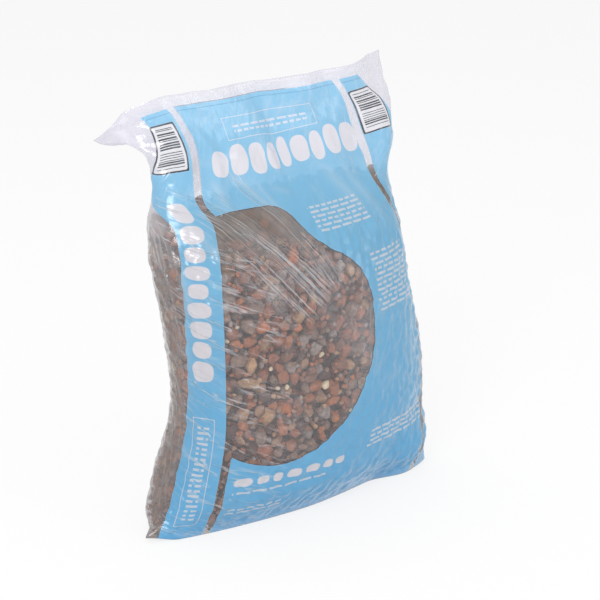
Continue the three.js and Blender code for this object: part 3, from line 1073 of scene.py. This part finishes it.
def pebble_tree(material):
    """Geometry nodes: chipped pebbles of several kinds on points that carry size, turn, kind and tone."""
    tree = bpy.data.node_groups.new("pebbles", "GeometryNodeTree")
    for name, way, kind in PEBBLE_SOCKETS:
        tree.interface.new_socket(name, in_out=way, socket_type=kind)
    given = add_node(tree, "NodeGroupInput").node.outputs
    kinds = tree.nodes.new("GeometryNodeGeometryToInstance")
    for number in range(PEBBLE_KINDS):
        ball = add_node(tree, "GeometryNodeMeshIcoSphere", {"Radius": 1.0, "Subdivisions": 2})
        spot = add_node(tree, "GeometryNodeInputPosition")
        chance = add_node(tree, "FunctionNodeRandomValue", {"Seed": SEED + number}, 1, data_type="FLOAT")
        worn = add_node(tree, "ShaderNodeMath", {0: chance, 1: given["Chipping"]}, operation="MULTIPLY")
        kept = add_node(tree, "ShaderNodeMath", {0: 1.0, 1: worn}, operation="SUBTRACT")
        inward = add_node(tree, "ShaderNodeVectorMath", {0: spot, "Scale": kept}, operation="SCALE")
        chipped = add_node(tree, "GeometryNodeSetPosition", {"Geometry": ball, "Position": inward})
        hull = add_node(tree, "GeometryNodeConvexHull", {"Geometry": chipped})
        tree.links.new(hull, kinds.inputs[0])
    value = {}
    for name, kind in POINT_VALUES.items():
        value[name] = add_node(tree, "GeometryNodeInputNamedAttribute", {"Name": name}, data_type=kind)
    turned = add_node(tree, "FunctionNodeEulerToRotation", {0: value["turn"]})
    placed = add_node(tree, "GeometryNodeInstanceOnPoints", {
        "Points": given["Geometry"], "Instance": kinds.outputs[0], "Pick Instance": True,
        "Instance Index": value["kind"], "Rotation": turned, "Scale": value["size"],
    })
    real = add_node(tree, "GeometryNodeRealizeInstances", {"Geometry": placed})
    rounded = add_node(tree, "GeometryNodeSetShadeSmooth", {"Geometry": real})
    bend = add_node(tree, "GeometryNodeInputMeshEdgeAngle")
    sharp = add_node(tree, "FunctionNodeCompare", {
        0: bend, 1: given["Sharp Angle"],
    }, operation="GREATER_THAN")
    edged = add_node(tree, "GeometryNodeSetShadeSmooth", {
        "Geometry": rounded, "Selection": sharp, "Shade Smooth": False,
    }, domain="EDGE")
    done = add_node(tree, "GeometryNodeSetMaterial", {"Geometry": edged, "Material": material})
    add_node(tree, "NodeGroupOutput", {"Geometry": done})
    return tree


def stone_piece(name, layers, tree, seed):
    """One mesh of all stones in these layers."""
    random = np.random.default_rng(seed)
    places = np.concatenate([layer["place"] for layer in layers])
    halves = np.concatenate([layer["half"] for layer in layers])
    turns = [Matrix(m).to_euler() for layer in layers for m in layer["lie"]]
    seeds = bpy.data.meshes.new(name + "_points")
    seeds.from_pydata((places * MM).tolist(), [], [])
    fields = {
        "size": ("FLOAT_VECTOR", "vector", halves * MM),
        "turn": ("FLOAT_VECTOR", "vector", np.array([tuple(e) for e in turns])),
        "kind": ("INT", "value", random.integers(0, PEBBLE_KINDS, len(places))),
        "tone": ("FLOAT", "value", random.uniform(0, 1, len(places))),
    }
    for field, (kind, key, values) in fields.items():
        layer = seeds.attributes.new(field, kind, "POINT")
        layer.data.foreach_set(key, np.asarray(values, np.int32 if kind == "INT" else np.float32).ravel())
    grower = link_object(name + "_points", seeds)
    modifier = grower.modifiers.new("pebbles", "NODES")
    modifier.node_group = tree
    inputs = {item.name: item.identifier for item in tree.interface.items_tree if item.in_out == "INPUT"}
    modifier[inputs["Chipping"]] = CHIPPING
    modifier[inputs["Sharp Angle"]] = math.radians(SHARP_ANGLE)
    shown = grower.evaluated_get(bpy.context.evaluated_depsgraph_get())
    mesh = bpy.data.meshes.new_from_object(shown)
    bpy.data.objects.remove(grower)
    piece = link_object(name, mesh)
    mesh.name = name
    return piece


# Lamps: place in metres, size and power
LAMPS = {
    "key": ((-1.9, -1.3, 1.9), 1.0, 31.0),
    "fill": ((0.9, -2.2, 1.0), 1.4, 10.0),
    "top": ((0.2, 0.6, 2.4), 1.6, 14.0),
}
LAMP_AIM = (0, 0, 0.24)
FLOOR_HALF = 6.0
# Light of the world on the object, beside the 1.0 that the camera sees
WORLD_LEVEL = 0.68


def floor_material():
    """White paper sweep: seen as near white, while it keeps the object's soft shadow."""
    material, tree = new_material("white_paper")
    paint = add_node(tree, "ShaderNodeBsdfDiffuse", {"Color": linear("#f0f0f0")})
    white = add_node(tree, "ShaderNodeEmission", {"Color": (1, 1, 1, 1), "Strength": 1.0})
    ray = add_node(tree, "ShaderNodeLightPath").node.outputs
    seen = add_node(tree, "ShaderNodeMath", {
        0: ray["Is Camera Ray"], 1: ray["Is Glossy Ray"],
    }, operation="MAXIMUM")
    seen = add_node(tree, "ShaderNodeMath", {0: seen, 1: ray["Is Transmission Ray"]}, operation="MAXIMUM")
    share = add_node(tree, "ShaderNodeMath", {0: seen, 1: 0.8}, operation="MULTIPLY")
    paper = add_node(tree, "ShaderNodeMixShader", {0: share, 1: paint, 2: white})
    add_node(tree, "ShaderNodeOutputMaterial", {"Surface": paper})
    return material


def make_stage():
    """White floor and world, with a large soft key lamp, a fill and a top lamp."""
    corners = [(x * FLOOR_HALF, y * FLOOR_HALF, 0) for x, y in ((-1, -1), (1, -1), (1, 1), (-1, 1))]
    mesh = bpy.data.meshes.new("floor")
    mesh.from_pydata(corners, [], [(0, 1, 2, 3)])
    mesh.materials.append(floor_material())
    link_object("floor", mesh)

    world = bpy.data.worlds.new("studio")
    world.use_nodes = True
    tree = world.node_tree
    tree.nodes.clear()
    ray = add_node(tree, "ShaderNodeLightPath").node.outputs
    seen = add_node(tree, "ShaderNodeMath", {
        0: ray["Is Camera Ray"], 1: ray["Is Transmission Ray"],
    }, operation="MAXIMUM")
    level = add_node(tree, "ShaderNodeMapRange", {"Value": seen, "To Min": WORLD_LEVEL, "To Max": 1.0})
    sky = add_node(tree, "ShaderNodeBackground", {"Color": (1, 1, 1, 1), "Strength": level})
    add_node(tree, "ShaderNodeOutputWorld", {"Surface": sky})
    bpy.context.scene.world = world

    for name, (place, size, power) in LAMPS.items():
        lamp = bpy.data.lights.new(name, "AREA")
        lamp.size = size
        lamp.energy = power
        holder = link_object(name, lamp)
        holder.location = place
        holder.rotation_euler = (Vector(LAMP_AIM) - Vector(place)).to_track_quat("-Z", "Y").to_euler()


def vent_rims(form, points, material):
    """Raised rims of the pricked air holes, on the fold of the left side, in a grey that paints the holes'
    shade.
    """
    verts = []
    faces = []
    sides = 16
    around = 6
    for z in VENT_HEIGHTS:
        spot = (np.array([-LAY_FLAT_WIDTH / 2]), np.array([z]))
        place = form.at(points, *spot)[0]
        normal = form.at(form.normals, *spot)[0]
        lie = Vector(normal).to_track_quat("Z", "X").to_matrix()
        start = len(verts)
        for i in range(sides):
            a = 2 * math.pi * i / sides
            for j in range(around):
                b = 2 * math.pi * j / around
                r = VENT_DIAMETER / 2 + VENT_RIM * math.cos(b)
                offset = lie @ Vector((r * math.cos(a), r * math.sin(a), VENT_RIM * math.sin(b)))
                verts.append((Vector(place) + offset) * MM)
                here = start + i * around
                there = start + (i + 1) % sides * around
                k = (j + 1) % around
                faces.append((here + j, there + j, there + k, here + k))
    mesh = bpy.data.meshes.new("vent_rims")
    mesh.from_pydata(verts, [], faces)
    mesh.shade_smooth()
    mesh.materials.append(material)
    return link_object("vent_rims", mesh)


def rim_material():
    """Polyethylene drawn up round each pricked hole, grey as painted shade of the hole."""
    material, tree = new_material("vent_shade_grey")
    # Mid grey: painted shade where the pricked holes look dark
    film = add_node(tree, "ShaderNodeBsdfPrincipled", {"Base Color": linear("#8d8a90"), "Roughness": 0.35})
    add_node(tree, "ShaderNodeOutputMaterial", {"Surface": film})
    return material


make_camera()
form = BagForm()
stones = Stones(form)
points, folds = film_points(form, stones)
print_x = print_places(form)
fields = print_edges(print_x, form.up)
fields["print_x"] = print_x
fields["print_y"] = np.array(form.up)
fields.update(fold_zones(form, print_x, form.up))
fields["crease"] = np.clip(folds, 0, 2.5) / 2.5
film_data = film_mesh(form, points, fields)
film_data.materials.append(film_material(fields))
film = link_object("film_bag_visual", film_data)
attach(film, "root")
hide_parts("film_bag")

pebbles = pebble_tree(stone_material())
outer = stone_piece("stones_outer", [stones.layers[0], stones.crown], pebbles, SEED + 3)
heap = stones.layers[1:] + [stones.bed, stones.corners, stones.core]
inner = stone_piece("stones_inner", heap, pebbles, SEED + 4)
for piece in (outer, inner):
    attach(piece, "root")
    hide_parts("river_rock")

vents = vent_rims(form, points, rim_material())
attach(vents, "root")

make_stage()
bpy.context.scene.view_settings.view_transform = "Standard"
